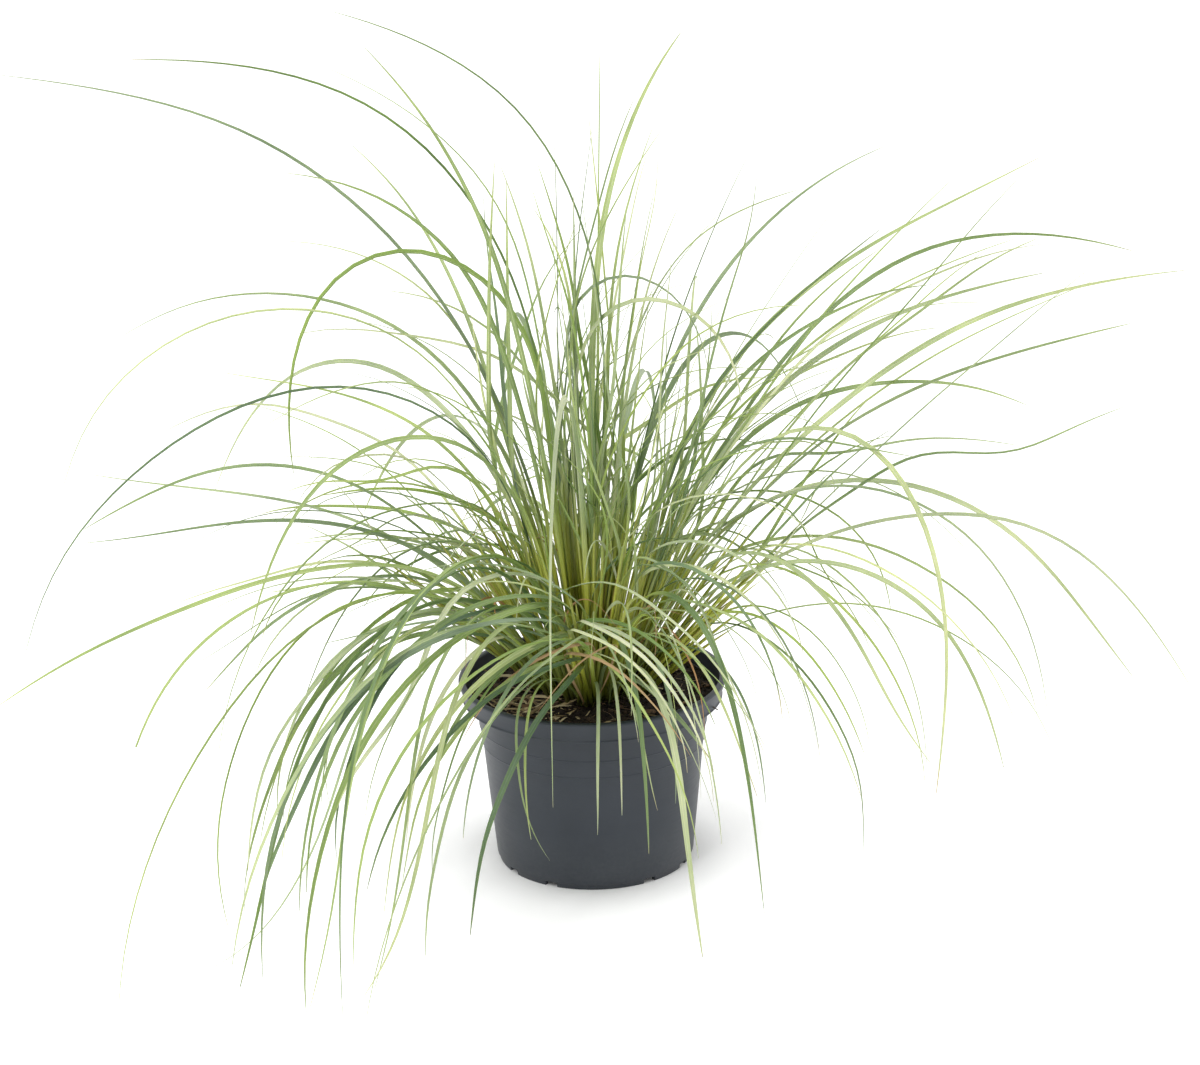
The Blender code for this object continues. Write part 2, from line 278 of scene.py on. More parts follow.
tree.links.new(dusty, surface.inputs["Base Color"])
tree.links.new(maths(tree, "MULTIPLY_ADD", rubs, 0.16, 0.34), surface.inputs["Roughness"])
roughened(tree, surface, maths(tree, "ADD", rubs, speck), 0.05, 0.0004)

at_lower_band = wall_radius(LOWER_BAND_FOOT)
at_upper_band = wall_radius(UPPER_BAND_FOOT)
at_collar = wall_radius(COLLAR_FOOT)
LIP_INNER = RIM_RADIUS - LIP_WIDTH
pot = drawn_up("nursery_pot", POT_STEPS, (
    # the underside: centre pad, recess and foot ring
    (PAD_RADIUS, 0.0), (PAD_RADIUS + 0.001, RECESS),
    (FOOT_RING_INNER, RECESS), (FOOT_RING_INNER + 0.0005, 0.0),
    (FOOT_RING_OUTER, 0.0), (FOOT_RING_OUTER + 0.0005, FOOT_RING_HEIGHT - 0.0006),
    # the wall, with its two bands
    (BODY_FOOT_RADIUS, FOOT_RING_HEIGHT), (wall_radius(0.012), 0.012),
    (wall_radius(0.035), 0.035), (wall_radius(BODY_MID_HEIGHT), BODY_MID_HEIGHT),
    (at_lower_band - BAND_STEP, LOWER_BAND_FOOT - 0.0008),
    (at_lower_band + 0.0002, LOWER_BAND_FOOT), (at_lower_band, LOWER_BAND_FOOT + 0.0005),
    (at_upper_band, UPPER_BAND_FOOT - 0.0008),
    (at_upper_band + BAND_STEP + 0.0002, UPPER_BAND_FOOT),
    (at_upper_band + BAND_STEP, UPPER_BAND_FOOT + 0.0005),
    (at_collar + BAND_STEP, COLLAR_FOOT - 0.0012),
    # the collar, with a bead at its foot, and the rolled lip
    (COLLAR_FOOT_RADIUS - 0.0012, COLLAR_FOOT - 0.0002),
    (COLLAR_FOOT_RADIUS + 0.0007, COLLAR_FOOT + 0.0006),
    (COLLAR_FOOT_RADIUS + 0.0007, COLLAR_FOOT + 0.0012),
    (COLLAR_FOOT_RADIUS + 0.0001, COLLAR_FOOT + 0.0019),
    (COLLAR_FOOT_RADIUS + 0.0002, COLLAR_FOOT + 0.0040),
    (RIM_RADIUS - 0.0004, POT_HEIGHT - 0.0028), (RIM_RADIUS, POT_HEIGHT - 0.0014),
    (RIM_RADIUS - 0.0004, POT_HEIGHT - 0.0004), (RIM_RADIUS - 0.0014, POT_HEIGHT),
    (LIP_INNER + 0.0012, POT_HEIGHT), (LIP_INNER + 0.0003, POT_HEIGHT - 0.0006),
    (LIP_INNER, POT_HEIGHT - 0.002),
    # the inside, down to the floor
    (COLLAR_FOOT_RADIUS - WALL - 0.002, COLLAR_FOOT + 0.003), (at_collar - WALL, COLLAR_FOOT),
    (wall_radius(BODY_MID_HEIGHT) - WALL, BODY_MID_HEIGHT),
    (wall_radius(0.008) - WALL, 0.008), (wall_radius(POT_FLOOR) - WALL - 0.003, POT_FLOOR),
    (0.020, POT_FLOOR),
), plastic)
for angle in DRAIN_ANGLES:
    across = math.radians(angle)
    out = Vector((math.cos(across), math.sin(across), 0))
    bpy.ops.mesh.primitive_cube_add(size=1, location=out * SLOT_DISTANCE, rotation=(0, 0, across))
    slot_cutter = bpy.context.object
    slot_cutter.scale = SLOT_SIZE
    bpy.ops.mesh.primitive_cylinder_add(
        vertices=24, radius=HOLE_RADIUS, depth=HOLE_DEPTH, location=out * HOLE_DISTANCE
    )
    for cutter in (slot_cutter, bpy.context.object):
        finish_with(pot, "BOOLEAN", operation="DIFFERENCE", solver="EXACT", object=cutter)
        bpy.data.objects.remove(cutter)
finish_with(
    pot, "BEVEL", width=MOULDED_EDGE, segments=2, limit_method="ANGLE", angle_limit=math.radians(28)
)
pot.select_set(True)
bpy.ops.object.shade_smooth_by_angle(angle=math.radians(32))
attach(pot, "root")
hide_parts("pot")


# ---------------- potting mix
# Moist peat packed round the root ball, almost black, heaped a little at the crown and spread
# over the ledge inside the collar. Its lumps are part of the mesh.

MIX_CROWN = 0.1246
MIX_EDGE = 0.1236
MIX_RADIUS = 0.0872
MIX_CELLS = 150
# The outline of its side, below the surface: the step under the collar, the bend and the floor
MIX_SIDE = (
    (0.0798, 0.1185), (wall_radius(BODY_MID_HEIGHT) - WALL - 0.001, BODY_MID_HEIGHT), (0.0665, 0.0056),
)
# Height of the lumps, how close they lie and where in the noise they are read
MIX_LUMPS = ((0.0016, 70, 0.3), (0.0011, 190, 0.7), (0.0006, 460, 0.1))


def mix_height(x, y):
    """The height of the mix's surface: a low crown, a shallow moat and lumps of three sizes."""
    reach = min(math.hypot(x, y) / MIX_RADIUS, 1.0)
    level = MIX_CROWN - 0.0022 * math.sin(reach * math.pi * 0.9) + (MIX_EDGE - MIX_CROWN) * reach**4
    lumps = sum(high * noise.noise(Vector((x, y, cut)) * close) for high, close, cut in MIX_LUMPS)
    return level + lumps * (1.15 - 0.75 * reach**3)


peat, tree, surface = new_finish("moist_peat", 0.85, 0.3)
place = add_node(tree, "ShaderNodeTexCoord").outputs["Object"]
clods = mottled(tree, place, 260, 6, 0.7)
grit = add_node(tree, "ShaderNodeTexVoronoi", {"Vector": place, "Scale": 520})
soil = ramped(
    tree, clods,
    (0.30, (0.0045, 0.003, 0.002)), (0.52, (0.016, 0.010, 0.006)),
    (0.66, (0.040, 0.025, 0.014)), (0.80, (0.115, 0.075, 0.042)),
)
tree.links.new(soil, surface.inputs["Base Color"])
roughened(tree, surface, maths(tree, "ADD", clods, grit.outputs["Distance"]), 0.9, 0.0012)

bpy.ops.object.select_all(action="DESELECT")
bpy.ops.mesh.primitive_grid_add(x_subdivisions=MIX_CELLS, y_subdivisions=MIX_CELLS, size=2)
mix = bpy.context.object
mix.name = "peat_surface"
for vertex in mix.data.vertices:
    x, y = vertex.co.x, vertex.co.y
    wide = x * math.sqrt(max(1 - y * y / 2, 0)) * MIX_RADIUS
    deep = y * math.sqrt(max(1 - x * x / 2, 0)) * MIX_RADIUS
    vertex.co = (wide, deep, mix_height(wide, deep))
bpy.ops.object.mode_set(mode="EDIT")
bpy.ops.mesh.select_mode(type="EDGE")
bpy.ops.mesh.select_all(action="SELECT")
bpy.ops.mesh.region_to_loop()
skirt_radius, skirt_height = MIX_RADIUS, MIX_EDGE
for radius, level in MIX_SIDE:
    bpy.ops.mesh.extrude_region_move(TRANSFORM_OT_translate={"value": (0, 0, level - skirt_height)})
    scale = radius / skirt_radius
    bpy.ops.transform.resize(value=(scale, scale, 1), center_override=(0, 0, level))
    skirt_radius, skirt_height = radius, level
bpy.ops.mesh.edge_face_add()
bpy.ops.mesh.select_all(action="SELECT")
bpy.ops.mesh.normals_make_consistent(inside=False)
bpy.ops.object.mode_set(mode="OBJECT")
bpy.ops.object.shade_smooth()
mix.data.materials.append(peat)
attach(mix, "root")
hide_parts("potting_mix")


# ---------------- crumbs, chips and litter
# What lies loose on the mix: peat crumbs, fine brown roots, flakes of bark and bits of straw from
# last year's leaves. Each kind is one form copied many times, turned and sized at random.

GRAIN = 300.0
draw = np.random.default_rng(41)


def form_of(piece):
    """A modelled form's points and faces, taken off its object, which is then removed."""
    mesh = piece.data
    points = np.array([vertex.co for vertex in mesh.vertices])
    faces = [tuple(face.vertices) for face in mesh.polygons]
    bpy.data.objects.remove(piece)
    return points, faces


def joined_piece(name, points, faces, finish, marks):
    """One smooth mesh from many copies; marks holds, by name, one number for each point."""
    mesh = bpy.data.meshes.new(name)
    mesh.from_pydata(points, [], faces)
    for mark, values in marks.items():
        layer = mesh.attributes.new(mark, "FLOAT", "POINT")
        layer.data.foreach_set("value", np.asarray(values, dtype=np.float32))
    piece = bpy.data.objects.new(name, mesh)
    bpy.context.scene.collection.objects.link(piece)
    mesh.materials.append(finish)
    mesh.shade_smooth()
    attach(piece, "root")
    return piece


def random_turn(tip_over=math.pi):
    """A turn about the vertical after a tip of at most tip_over to each side."""
    turn = Matrix.Rotation(draw.uniform(0, math.tau), 3, "Z")
    tip = Matrix.Rotation(draw.uniform(-tip_over, tip_over), 3, "X")
    return np.array(turn @ tip @ Matrix.Rotation(draw.uniform(-tip_over, tip_over), 3, "Y"))


def spot_on_mix(inner, outer, middle=None, spread=0.0):
    """A random place on the mix, in a ring, or gathered round a middle."""
    while True:
        if middle:
            x, y = draw.normal(middle[0], spread), draw.normal(middle[1], spread)
        else:
            reach = math.sqrt(draw.uniform(inner**2, outer**2))
            way = draw.uniform(0, math.tau)
            x, y = reach * math.cos(way), reach * math.sin(way)
        if math.hypot(x, y) < outer:
            return x, y


def strewn(
    name, forms, count, sizes, finish,
    ring=(0.0, 0.085), middle=None, spread=0.0, tip_over=math.pi, lift=0.3,
):
    """Copies of the forms laid on the mix, in a ring or round a middle. Each keeps its own tint."""
    points, faces, tints = [], [], []
    start = 0
    for _ in range(count):
        form, form_faces = forms[draw.integers(len(forms))]
        size = sizes[0] * (sizes[1] / sizes[0]) ** (draw.random() ** 1.6)
        x, y = spot_on_mix(*ring, middle, spread)
        copy = form * size @ random_turn(tip_over).T
        height = mix_height(x, y) - copy[:, 2].min() * (1 - 2 * lift)
        points.append(copy + (x, y, height))
        faces += [tuple(start + corner for corner in face) for face in form_faces]
        tints += [draw.random()] * len(form)
        start += len(form)
    return joined_piece(name, np.concatenate(points), faces, finish, {"tint": tints})


def tinted_finish(name, roughness, *stops):
    """A dull natural finish whose colour goes by each copy's own tint, with a fine grain."""
    material, tree, surface = new_finish(name, roughness, 0.3)
    tint = add_node(tree, "ShaderNodeAttribute", attribute_name="tint").outputs["Fac"]
    place = add_node(tree, "ShaderNodeTexCoord").outputs["Object"]
    fleck = mottled(tree, place, GRAIN, 4)
    shade = maths(tree, "MULTIPLY_ADD", fleck, 0.5, maths(tree, "SUBTRACT", tint, 0.25))
    tree.links.new(ramped(tree, shade, *stops), surface.inputs["Base Color"])
    roughened(tree, surface, fleck, 0.5, 0.0006)
    return material


crumb_finish = tinted_finish(
    "peat_crumb", 0.9,
    (0.0, (0.005, 0.003, 0.002)), (0.6, (0.022, 0.014, 0.009)), (1.0, (0.085, 0.052, 0.030)),
)
bark_finish = tinted_finish(
    "bark_flake", 0.8,
    (0.0, (0.030, 0.016, 0.008)), (0.5, (0.110, 0.062, 0.030)), (1.0, (0.330, 0.225, 0.120)),
)
straw_finish = tinted_finish(
    "dry_straw", 0.7,
    (0.0, (0.10, 0.070, 0.030)), (0.5, (0.300, 0.225, 0.110)), (1.0, (0.560, 0.480, 0.300)),
)
root_finish = tinted_finish(
    "fine_root", 0.8,
    (0.0, (0.035, 0.020, 0.011)), (0.6, (0.110, 0.070, 0.040)), (1.0, (0.260, 0.190, 0.120)),
)

crumbs = []
for kind in range(5):
    bpy.ops.object.select_all(action="DESELECT")
    bpy.ops.mesh.primitive_ico_sphere_add(subdivisions=2, radius=0.5)
    crumb = bpy.context.object
    squash = Vector((1.0, 0.7 + 0.06 * kind, 0.5 + 0.09 * kind))
    for vertex in crumb.data.vertices:
        bulge = 1 + 0.7 * noise.noise(vertex.co * 3.1 + Vector((kind * 9.0, 0, 0)))
        vertex.co = vertex.co * squash * bulge
    crumbs.append(form_of(crumb))
strewn("peat_crumbs", crumbs, 1300, (0.0009, 0.0048), crumb_finish)

chips = []
for kind in range(4):
    bpy.ops.mesh.primitive_cube_add(size=1)
    chip = bpy.context.object
    chip.scale = (1.0, 0.42 + 0.1 * kind, 0.14)
    bpy.ops.object.transform_apply(location=False, rotation=False, scale=True)
    finish_with(chip, "BEVEL", width=0.03, segments=1)
    finish_with(chip, "SUBSURF", levels=1, render_levels=1, subdivision_type="SIMPLE")
    for vertex in chip.data.vertices:
        warp = noise.noise(vertex.co * 2.3 + Vector((0, kind * 7.0, 0)))
        vertex.co += Vector((0.16, 0.13, 0.05)) * warp
    chips.append(form_of(chip))
strewn("bark_flakes", chips, 60, (0.003, 0.011), bark_finish, ring=(0.02, 0.083), tip_over=0.45)
strewn(
    "pale_wood_chips", chips, 16, (0.003, 0.008), straw_finish,
    middle=(-0.042, -0.052), spread=0.016, tip_over=0.4,
)

straws = []
for kind in range(4):
    bpy.ops.mesh.primitive_grid_add(x_subdivisions=9, y_subdivisions=1, size=1)
    straw = bpy.context.object
    for vertex in straw.data.vertices:
        along = vertex.co.x
        bow = 0.10 * math.sin(along * 3 + kind) + 0.05 * kind * along * along
        narrow = 0.055 * (1 - 0.8 * (abs(along) * 2) ** 3)
        wave = 0.03 * math.cos(along * 5 + kind) + 0.01 * abs(vertex.co.y)
        vertex.co = (along, vertex.co.y * narrow * 2 + bow, wave)
    finish_with(straw, "SOLIDIFY", thickness=0.012, offset=0)
    straws.append(form_of(straw))
strewn(
    "straw_litter", straws, 90, (0.007, 0.034), straw_finish, ring=(0.02, 0.080), tip_over=0.22, lift=0.1
)
strewn(
    "straw_heap", straws, 46, (0.010, 0.034), straw_finish,
    middle=(-0.048, -0.030), spread=0.013, tip_over=0.25, lift=0.05,
)

roots = []
for kind in range(4):
    lying = (0, math.pi / 2, 0)
    bpy.ops.mesh.primitive_cylinder_add(vertices=4, radius=0.014, depth=1, rotation=lying)
    root = bpy.context.object
    bpy.ops.object.transform_apply(location=False, rotation=True, scale=False)
    bpy.ops.object.mode_set(mode="EDIT")
    bpy.ops.mesh.select_all(action="SELECT")
    bpy.ops.mesh.subdivide(number_cuts=9, quadcorner="INNERVERT")
    bpy.ops.object.mode_set(mode="OBJECT")
    bpy.ops.object.select_all(action="DESELECT")
    for vertex in root.data.vertices:
        along = vertex.co.x
        vertex.co.y += 0.17 * math.sin(along * 5.5 + kind * 1.7) * (0.4 + abs(along))
        vertex.co.z += 0.05 * math.cos(along * 7 + kind)
    roots.append(form_of(root))
strewn("fine_roots", roots, 150, (0.008, 0.030), root_finish, tip_over=0.25, lift=0.0)


# ---------------- long leaves
# The 45 longest blades of the clump: living grass leaves, folded along a midrib, that rise from
# the crown and arch under their own weight to hair-fine tips. Each grows from its own shoot.

BLADE_CELLS = 36
FOLD_POWER = 1.25
EDGE_THINNING = 0.55
WIDEST_AT = 0.28
TAPER_LENGTH = 0.38
TAPER_POWER = 0.75
TIP_WIDTH = 0.11
TURN_LENGTH = 0.25
SWAY_PIVOT = 0.55
LEAF_SWAY = {"left": 12, "front": 6, "right": 12, "top": 8, "back": 16}
LEAF_SWAY_TURNS = (1, -0.5, 0.6, -1)
FOOT_HEIGHT = 0.1248
# Heading in degrees from +X, distance of the foot from the pot's axis, length, lean from the
# vertical in degrees at even steps from foot to tip, and width
LONG_LEAVES = {
    "left": (
        (165, 0.016, 0.665, (5, 15, 30, 53, 77, 86), 0.0045),
        (160, 0.012, 0.635, (2, 6, 14, 42, 77, 92), 0.0040),
        (150, 0.006, 0.595, (-6, -5, 0, 25, 65, 82), 0.0040),
        (176, 0.010, 0.510, (3, 5, 6, 14, 45, 66), 0.0035),
        (207, 0.011, 0.500, (6, 8, 10, 15, 28, 42), 0.0035),
        (190, 0.020, 0.460, (2, 6, 12, 20, 50, 80), 0.0035),
        (195, 0.024, 0.595, (4, 16, 34, 78, 124, 165), 0.0035),
        (155, 0.024, 0.530, (4, 17, 38, 74, 100, 122), 0.0050),
        (193, 0.015, 0.565, (2, 5, 10, 62, 150, 185), 0.0040),
        (150, 0.028, 0.390, (12, 24, 44, 72, 87, 88), 0.0030),
        (160, 0.032, 0.405, (32, 50, 68, 85, 90, 88), 0.0040),
        (170, 0.030, 0.415, (30, 42, 54, 84, 111, 121), 0.0035),
        (190, 0.033, 0.380, (22, 38, 60, 82, 95, 92), 0.0050),
        (205, 0.029, 0.455, (26, 45, 80, 98, 105, 115), 0.0050),
        (198, 0.036, 0.615, (2, 14, 58, 105, 135, 165), 0.0035),
        (210, 0.036, 0.385, (33, 46, 68, 95, 124, 153), 0.0040),
        (215, 0.026, 0.470, (34, 50, 84, 136, 165, 190), 0.0045),
    ),
    "front": (
        (231, 0.028, 0.490, (28, 50, 88, 130, 156, 156), 0.0050),
        (230, 0.036, 0.450, (30, 55, 105, 150, 130, 88), 0.0035),
        (240, 0.022, 0.550, (20, 40, 85, 135, 162, 150), 0.0050),
        (246, 0.027, 0.575, (25, 45, 80, 125, 165, 180), 0.0040),
        (239, 0.034, 0.430, (20, 45, 100, 155, 162, 148), 0.0050),
        (264, 0.014, 0.585, (8, 14, 40, 130, 173, 178), 0.0050),
        (288, 0.030, 0.300, (30, 65, 115, 155, 158, 150), 0.0050),
        (297, 0.026, 0.400, (15, 40, 85, 142, 165, 170), 0.0040),
    ),
    "right": (
        (330, 0.024, 0.565, (20, 28, 50, 140, 176, 186), 0.0040),
        (338, 0.030, 0.395, (28, 42, 72, 112, 150, 166), 0.0035),
        (351, 0.014, 0.475, (22, 36, 68, 112, 150, 172), 0.0035),
        (359, 0.033, 0.495, (15, 34, 74, 112, 140, 144), 0.0040),
        (345, 0.028, 0.490, (34, 49, 68, 92, 132, 148), 0.0050),
        (322, 0.030, 0.370, (22, 32, 60, 118, 146, 135), 0.0045),
        (15, 0.018, 0.545, (20, 28, 36, 55, 88, 108), 0.0035),
        (5, 0.022, 0.520, (24, 34, 46, 58, 77, 88), 0.0040),
        (25, 0.018, 0.525, (8, 21, 36, 58, 70, 70), 0.0040),
        (35, 0.016, 0.480, (2, 13, 21, 42, 64, 80), 0.0040),
        (50, 0.012, 0.455, (1, 6, 13, 40, 76, 88), 0.0035),
        (26, 0.032, 0.450, (12, 24, 50, 84, 102, 117), 0.0035),
        (15, 0.028, 0.465, (28, 39, 52, 68, 78, 81), 0.0050),
    ),
    "top": (
        (60, 0.006, 0.495, (0, 0, 2, 12, 40, 62), 0.0045),
        (80, 0.010, 0.450, (6, 7, 8, 9, 11, 14), 0.0040),
    ),
    "back": (
        (62, 0.024, 0.520, (12, 28, 55, 95, 130, 150), 0.0040),
        (82, 0.028, 0.500, (22, 38, 65, 100, 135, 155), 0.0045),
        (100, 0.026, 0.560, (14, 28, 55, 100, 135, 150), 0.0040),
        (118, 0.030, 0.480, (25, 42, 72, 105, 130, 145), 0.0045),
        (138, 0.026, 0.540, (12, 28, 58, 100, 132, 150), 0.0040),
    ),
}


def straight_blade(cells_across, cells_along, fold, thickness):
    """A flat straight blade, folded up along its midrib and given its thickness, as arrays:
    share of the half width (-1 to 1), share of the length, height off the blade's plane as a share
    of its width, whether a point is on the upper side, and the faces."""
    bpy.ops.object.select_all(action="DESELECT")
    bpy.ops.mesh.primitive_grid_add(x_subdivisions=cells_across, y_subdivisions=cells_along, size=1)
    blade = bpy.context.object
    for vertex in blade.data.vertices:
        vertex.co.z = fold * abs(vertex.co.x) ** FOLD_POWER
    finish_with(blade, "SOLIDIFY", thickness=thickness, offset=0, use_even_offset=False)
    points, faces = form_of(blade)
    across = points[:, 0] * 2
    middle = fold * np.abs(points[:, 0]) ** FOLD_POWER
    upper = (points[:, 2] > middle).astype(float)
    edge_thin = 1 - EDGE_THINNING * np.abs(across)
    off = middle + (points[:, 2] - middle) * edge_thin
    return across.clip(-1, 1), (points[:, 1] + 0.5).clip(0, 1), off, upper, np.array(faces)


def between(values, shares):
    """A smooth Catmull-Rom reading of evenly spaced values at shares from 0 to 1."""
    values = np.asarray(values, dtype=float)
    place = shares * (len(values) - 1)
    first = np.minimum(place.astype(int), len(values) - 2)
    t = place - first
    p0, p1, p2, p3 = (values[np.clip(first + step, 0, len(values) - 1)] for step in (-1, 0, 1, 2))
    slope_out = 2 * p0 - 5 * p1 + 4 * p2 - p3
    return 0.5 * (2 * p1 + (p2 - p0) * t + slope_out * t**2 + (3 * p1 - p0 - 3 * p2 + p3) * t**3)


LEAF_HABIT = dict(
    sway=0.0, twist=0.0, tone=0.5, dry=0.0, aside=0.0, roll=0.0, base=0.6, leave=0.0, turn=0.0, cut=0.0,
    sheath=0.12,
)


def leaf_row(heading, foot, length, leans, width, **habit):
    """One leaf's measures. Sway is the change of its heading from foot to tip. Tone runs from fresh
    green to grey-green, dry is the length of its dry tip, aside turns its foot round the crown,
    roll turns its face, base is its foot's width share, from the share leave, where it comes out of
    its sheath, its heading swings round by turn, cut leaves its tip blunt, and sheath is the length
    of its olive foot."""
    measures = dict(heading=heading, foot=foot, length=length, leans=leans, width=width)
    return {**LEAF_HABIT, **measures, **habit}


def leaf_ways(row, shares):
    """The headings along a leaf, in radians."""
    out = np.clip((shares - row["leave"]) / TURN_LENGTH, 0, 1)
    turned = row["turn"] * out * out * (3 - 2 * out)
    return np.radians(row["heading"] + turned + row["sway"] * (shares - SWAY_PIVOT))


def leaf_track(row, cells):
    """Points and headings along a leaf at even steps from foot to tip."""
    fine = 6
    shares = (np.arange(cells * fine) + 0.5) / (cells * fine)
    lean = np.radians(between(row["leans"], shares))
    way = leaf_ways(row, shares)
    steps = np.stack((np.sin(lean) * np.cos(way), np.sin(lean) * np.sin(way), np.cos(lean)), axis=1)
    foot_way = math.radians(row["heading"] + row["aside"])
    foot = np.array((row["foot"] * math.cos(foot_way), row["foot"] * math.sin(foot_way), FOOT_HEIGHT))
    track = np.vstack((foot, foot + np.cumsum(steps * row["length"] / (cells * fine), axis=0)))[::fine]
    shares = np.linspace(0, 1, cells + 1)
    return track, leaf_ways(row, shares), shares


def grass_piece(name, template, rows, finish):
    """One mesh of leaves: the straight blade laid along each row's track, tapered and twisted."""
    across, share, off, upper, faces = template
    cells = int(round(1 / np.diff(np.unique(np.round(share, 5))).min()))
    section = np.round(share * cells).astype(int)
    points, marks = [], {"run": [], "to_tip": [], "tone": [], "dry": [], "upper": [], "sheath": []}
    for row in rows:
        track, ways, shares = leaf_track(row, cells)
        along = np.gradient(track, axis=0)
        along /= np.linalg.norm(along, axis=1, keepdims=True)
        level = np.stack((-np.sin(ways), np.cos(ways), np.zeros_like(ways)), axis=1)
        face = np.cross(along, level)
        face /= np.linalg.norm(face, axis=1, keepdims=True)
        turn = np.radians(row["roll"] + row["twist"] * shares)[:, None]
        up = face * np.cos(turn) + level * np.sin(turn)
        side = np.cross(up, along)
        rise = row["base"] + (1 - row["base"]) * np.sin(np.minimum(shares / WIDEST_AT, 1) * math.pi / 2)
        fall = np.clip((1 + row["cut"] - shares) / TAPER_LENGTH, 0, 1) ** TAPER_POWER
        width = row["width"] * (rise * fall * (1 - TIP_WIDTH) + TIP_WIDTH)
        width_here = width[section][:, None]
        lift = abs(side[0, 2]) * width[0] / 2
        laid = track[section] + side[section] * (across[:, None] * width_here / 2)
        laid += up[section] * (off[:, None] * width_here) + (0, 0, lift)
        points.append(laid)
        marks["run"].append(share * row["length"])
        marks["to_tip"].append((1 - share) * row["length"])
        marks["upper"].append(upper)
        for mark in ("tone", "dry", "sheath"):
            marks[mark].append(np.full(len(share), row[mark]))
    count, size = len(rows), len(share)
    all_faces = (faces[None] + (np.arange(count) * size)[:, None, None]).reshape(-1, 4)
    marks = {mark: np.concatenate(values) for mark, values in marks.items()}
    piece = joined_piece(name, np.concatenate(points), all_faces, finish, marks)
    chart = piece.data.uv_layers.new(name="UVMap")
    corners = all_faces.ravel() % size
    flat = np.stack((across[corners] / 2 + 0.5, share[corners]), axis=1)
    chart.data.foreach_set("uv", flat.astype(np.float32).ravel())
    return piece


# The leaf surface, shared by blades, sheaths and dry leaves: fine veins that run the whole length,
# a paler midrib, and slow changes of depth from one part of a leaf to the next.
VEIN_COUNT = 9.0
STREAKS_PER_METRE = 9.0
TONE_STEP = 57.0
MIDRIB_NARROWNESS = 11.0
veins = bpy.data.node_groups.new("leaf_veins", "ShaderNodeTree")
for socket, kind in (("Count", "NodeSocketFloat"), ("Tone", "NodeSocketFloat")):
    veins.interface.new_socket(socket, in_out="INPUT", socket_type=kind)
for socket in ("Vein", "Midrib", "Patch", "Height"):
    veins.interface.new_socket(socket, in_out="OUTPUT", socket_type="NodeSocketFloat")
given = veins.nodes.new("NodeGroupInput")
result = veins.nodes.new("NodeGroupOutput")
chart = add_node(veins, "ShaderNodeUVMap", uv_map="UVMap").outputs["UV"]
spread = add_node(veins, "ShaderNodeSeparateXYZ", {"Vector": chart})
run = add_node(veins, "ShaderNodeAttribute", attribute_name="run").outputs["Fac"]
streak = add_node(veins, "ShaderNodeCombineXYZ", {
    "X": maths(veins, "MULTIPLY", spread.outputs["X"], given.outputs["Count"]),
    "Y": maths(veins, "MULTIPLY", run, STREAKS_PER_METRE),
    "Z": maths(veins, "MULTIPLY", given.outputs["Tone"], TONE_STEP),
})
fibre = mottled(veins, streak.outputs[0], 1, 3)
off_middle = maths(veins, "ABSOLUTE", maths(veins, "SUBTRACT", spread.outputs["X"], 0.5))
off_midrib = maths(veins, "MULTIPLY", off_middle, MIDRIB_NARROWNESS)
midrib = maths(veins, "SUBTRACT", 1.0, off_midrib, clamp=True)
place = add_node(veins, "ShaderNodeTexCoord").outputs["Object"]
patch = mottled(veins, place, 16, 3)
veins.links.new(fibre, result.inputs["Vein"])
veins.links.new(midrib, result.inputs["Midrib"])
veins.links.new(patch, result.inputs["Patch"])
height = maths(veins, "SUBTRACT", fibre, maths(veins, "MULTIPLY", midrib, 0.5))
veins.links.new(height, result.inputs["Height"])


def mark_of(tree, name):
    """The value that grass_piece stored under this name on the mesh's points."""
    return add_node(tree, "ShaderNodeAttribute", attribute_name=name).outputs["Fac"]


def veined(tree, surface, strength):
    """Places the leaf surface in a finish and gives its outputs."""
    group = add_node(tree, "ShaderNodeGroup", node_tree=veins)
    group.inputs["Count"].default_value = VEIN_COUNT
    tree.links.new(mark_of(tree, "tone"), group.inputs["Tone"])
    roughened(tree, surface, group.outputs["Height"], strength, 0.0004)
    return group.outputs


def let_light_through(surface, weight):
    """Light scatters a little way inside a leaf, most of it green and red."""
    surface.inputs["Subsurface Weight"].default_value = weight
    surface.inputs["Subsurface Radius"].default_value = (0.8, 1.0, 0.3)
    surface.inputs["Subsurface Scale"].default_value = 0.0012


# Grass green: an olive foot where the sheath was, darkened to near black at the soil as painted
# shade, then green that is fresher below and greyer, with a faint bloom, above; paler veins; each
# leaf made lighter or darker as a whole, partly its own tone and partly painted light and shade;
# and on some leaves a straw-coloured tip.
blade_finish, tree, surface = new_finish("grass_blade", 0.45, 0.45)
vein = veined(tree, surface, 0.35)
tone = mark_of(tree, "tone")
run = mark_of(tree, "run")
fresh = mixed(tree, tone, (0.225, 0.328, 0.058, 1), (0.212, 0.275, 0.172, 1))
bloomed = mixed(tree, tone, (0.335, 0.428, 0.145, 1), (0.395, 0.450, 0.335, 1))
green = mixed(tree, mark_of(tree, "upper"), fresh, bloomed)
green = mixed(tree, maths(tree, "MULTIPLY", vein["Vein"], 0.55), green, (0.150, 0.215, 0.045, 1))
green = mixed(tree, maths(tree, "MULTIPLY", vein["Midrib"], 0.35), green, (0.66, 0.72, 0.42, 1))
deep = ramped(tree, vein["Patch"], (0.35, (0.72, 0.76, 0.68)), (0.65, (1.15, 1.12, 1.08)))
green = mixed(tree, 1.0, green, deep, "MULTIPLY")
